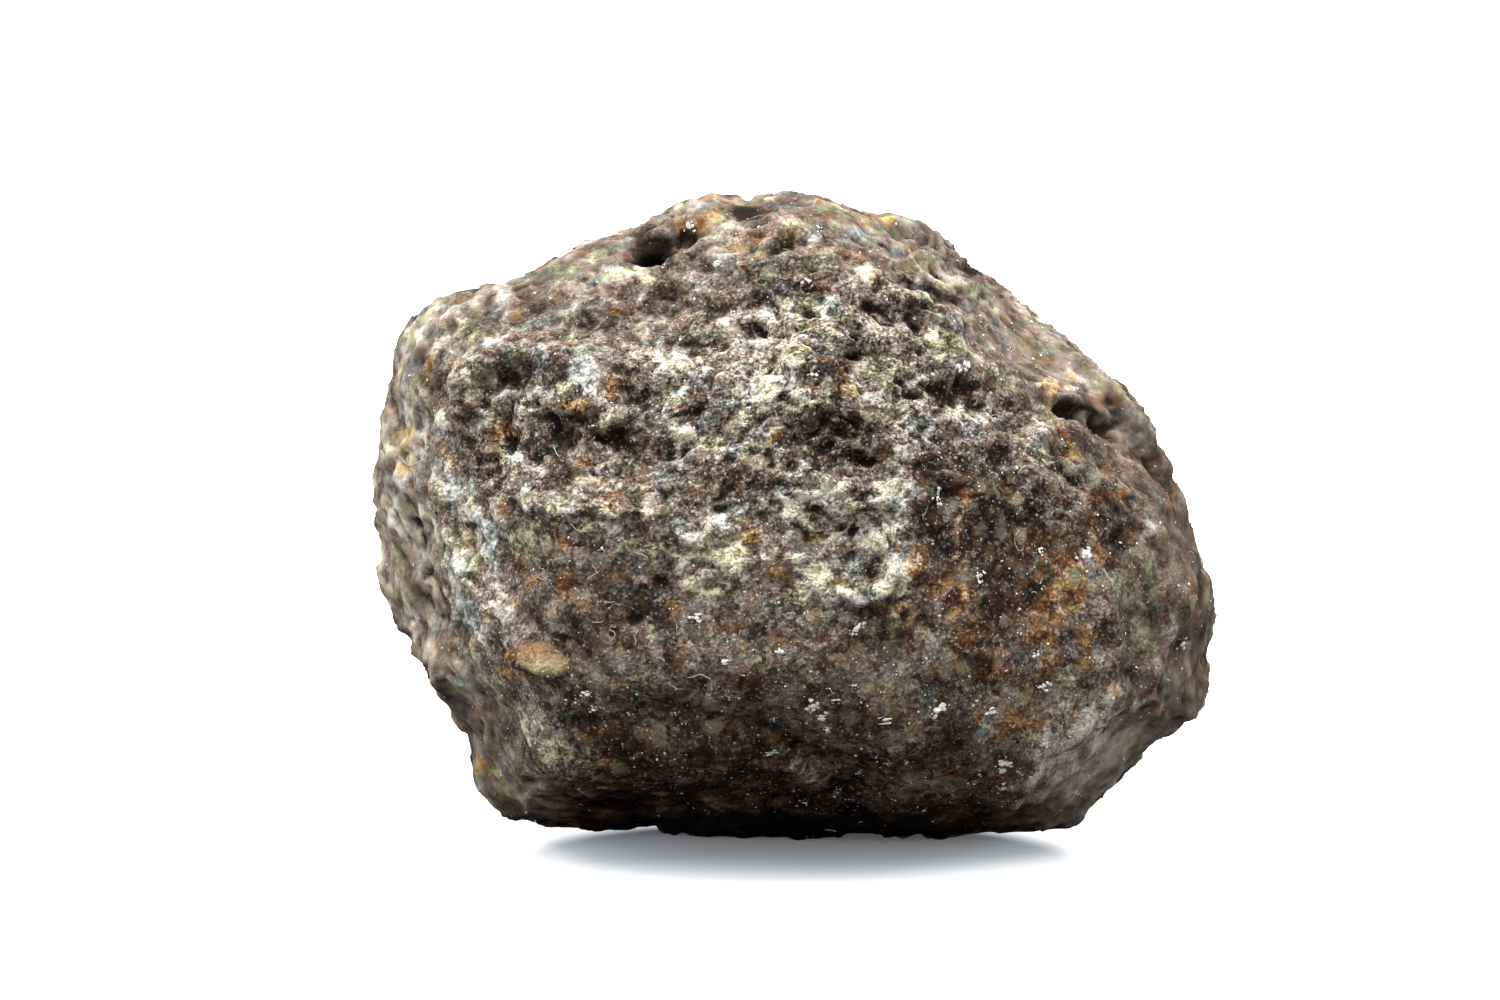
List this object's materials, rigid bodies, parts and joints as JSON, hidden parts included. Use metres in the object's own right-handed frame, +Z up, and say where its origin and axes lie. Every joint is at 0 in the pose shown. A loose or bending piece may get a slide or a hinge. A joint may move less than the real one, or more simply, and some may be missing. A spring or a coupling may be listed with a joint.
{
  "type": "chondrite meteorite",
  "caption": "Rough, weathered stony meteorite with a craggy pitted top, a smoother low front, a dust-flecked purple-brown surface and a small flat spot to rest on.",
  "frame": {"origin": "centre of the stone's bounding box at the height of its flat resting spot", "axes": "+X to the right of the front view along the stone's length, +Y away from the viewer, +Z up"},
  "size_m": [0.038, 0.029, 0.0282],
  "materials": {
    "chondrite_rock": "dull weathered rock, mottled purple-brown, cream, rust and blue-grey",
    "mineral_dust": "loose white mineral grains",
    "lint": "fine pale dust fibres"
  },
  "bodies": {
    "root": {"meteorite": "chondrite_rock"}
  },
  "joints": []
}
